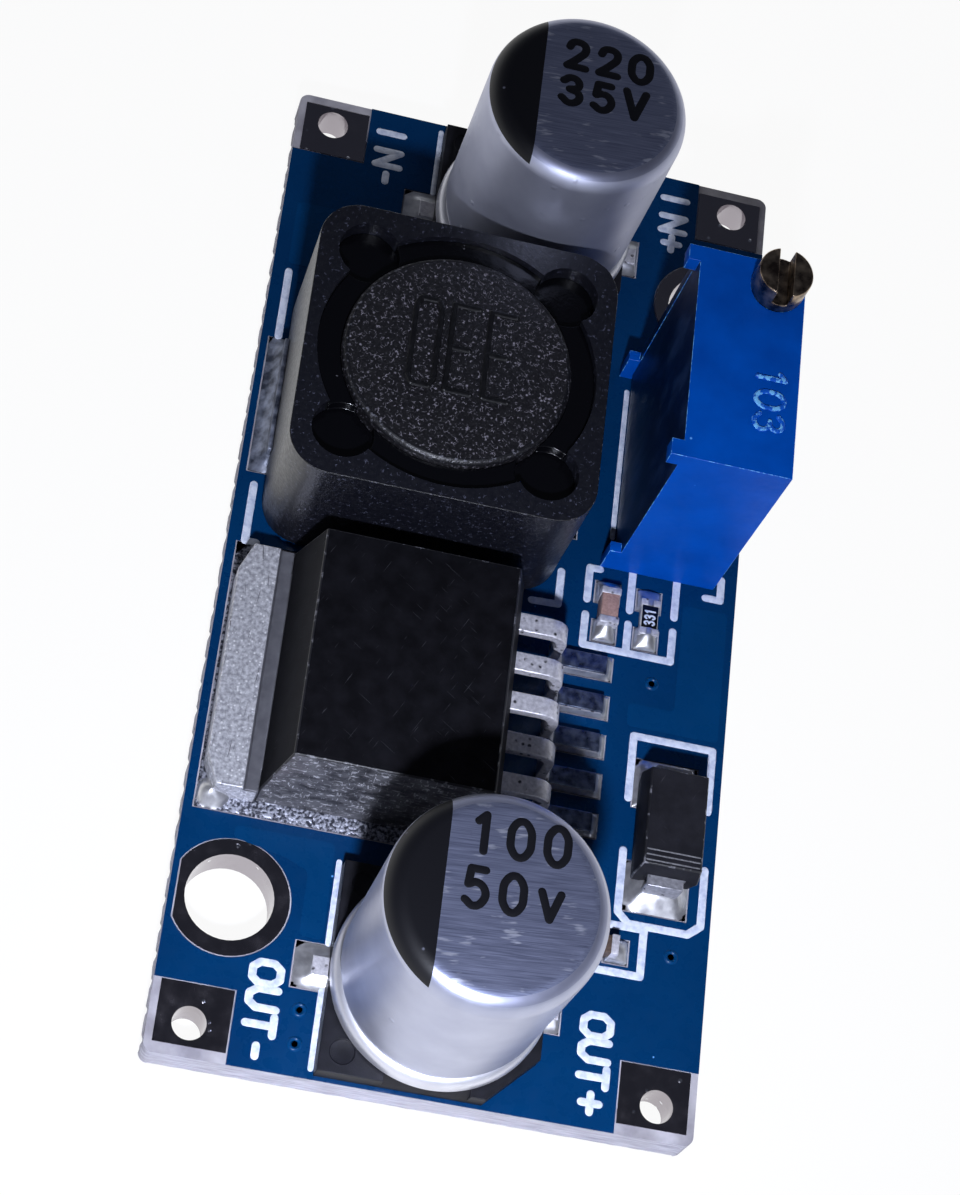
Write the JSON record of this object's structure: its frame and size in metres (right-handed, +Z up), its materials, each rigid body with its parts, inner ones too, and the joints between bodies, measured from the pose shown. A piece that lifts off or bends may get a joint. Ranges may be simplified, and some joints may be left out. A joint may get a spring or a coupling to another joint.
{
  "type": "boost converter module",
  "caption": "Small blue circuit board with electrolytic capacitors, a shielded inductor, a tabbed converter chip, a diode and a screw-adjusted trimmer that sets the output voltage.",
  "frame": {"origin": "centre of the board's underside, midway between the two mounting holes", "axes": "+Z up from the board to the parts, +Y to the input end, +X to the positive side"},
  "size_m": [0.021, 0.043, 0.0135],
  "materials": {
    "laminate": "rough cut glass-fibre laminate",
    "solder_mask": "glossy blue solder mask",
    "tin": "bright tin plating",
    "can": "satin with a brushed top",
    "cap_base": "moulded, fine grain",
    "ferrite": "granular sintered ferrite",
    "winding": "enamelled copper wire",
    "resin": "cast sealing resin",
    "mould": "moulded epoxy",
    "tab": "scratched tin plating",
    "chip_ceramic": "fired ceramic",
    "white_ceramic": "fired alumina",
    "glaze": "dark glaze",
    "trimmer_blue": "glossy moulded",
    "seal": "moulded",
    "brass": "turned",
    "carriage": "moulded",
    "solder": "grainy reflowed solder"
  },
  "bodies": {
    "board": {"board_laminate": "laminate", "solder_mask_top": "solder_mask", "solder_mask_bottom": "solder_mask", "component_lands": "tin", "mounting_ring_upper": "tin", "mounting_ring_lower": "tin", "terminal_in_plus": "tin", "terminal_in_minus": "tin", "terminal_out_plus": "tin", "terminal_out_minus": "tin", "input_cap_can": "can", "input_cap_base": "cap_base", "input_cap_leads": "tin", "output_cap_can": "can", "output_cap_base": "cap_base", "output_cap_leads": "tin", "inductor_shield": "ferrite", "inductor_drum": "ferrite", "inductor_winding": "winding", "inductor_filler": "resin", "inductor_clips": "tin", "converter_body": "mould", "converter_tab": "tab", "converter_leads": "tin", "diode_body": "mould", "diode_leads": "tin", "chip_capacitor_body": "chip_ceramic", "chip_capacitor_ends": "tin", "side_capacitor_body": "chip_ceramic", "side_capacitor_ends": "tin", "chip_resistor_body": "white_ceramic", "chip_resistor_glaze": "glaze", "chip_resistor_ends": "tin", "trimmer_housing": "trimmer_blue", "trimmer_resin": "resin", "trimmer_element": "white_ceramic", "trimmer_pins": "tin", "trimmer_seal": "seal", "trimmer_clip": "tin", "capacitor_solder": "solder", "inductor_solder": "solder", "converter_solder": "solder", "diode_solder": "solder", "chip_solder": "solder", "trimmer_solder": "solder"},
    "adjusting_screw": {"trimmer_screw": "brass"},
    "wiper_carriage": {"trimmer_carriage": "carriage", "trimmer_wiper": "brass"}
  },
  "joints": [
    {"name": "screw_turn", "type": "hinge", "parent": "board", "child": "adjusting_screw", "pos_m": [0.0083, 0.01022, 0.0116], "axis": [0, 0, 1], "range_deg": [-4500, 4500]},
    {"name": "carriage_slide", "type": "slide", "parent": "board", "child": "wiper_carriage", "axis": [0, 0, 1], "range_m": [-0.00275, 0.00275]}
  ],
  "couplings": [
    {"joint": "screw_turn", "follows": "carriage_slide", "rad_per_m": -28560}
  ]
}
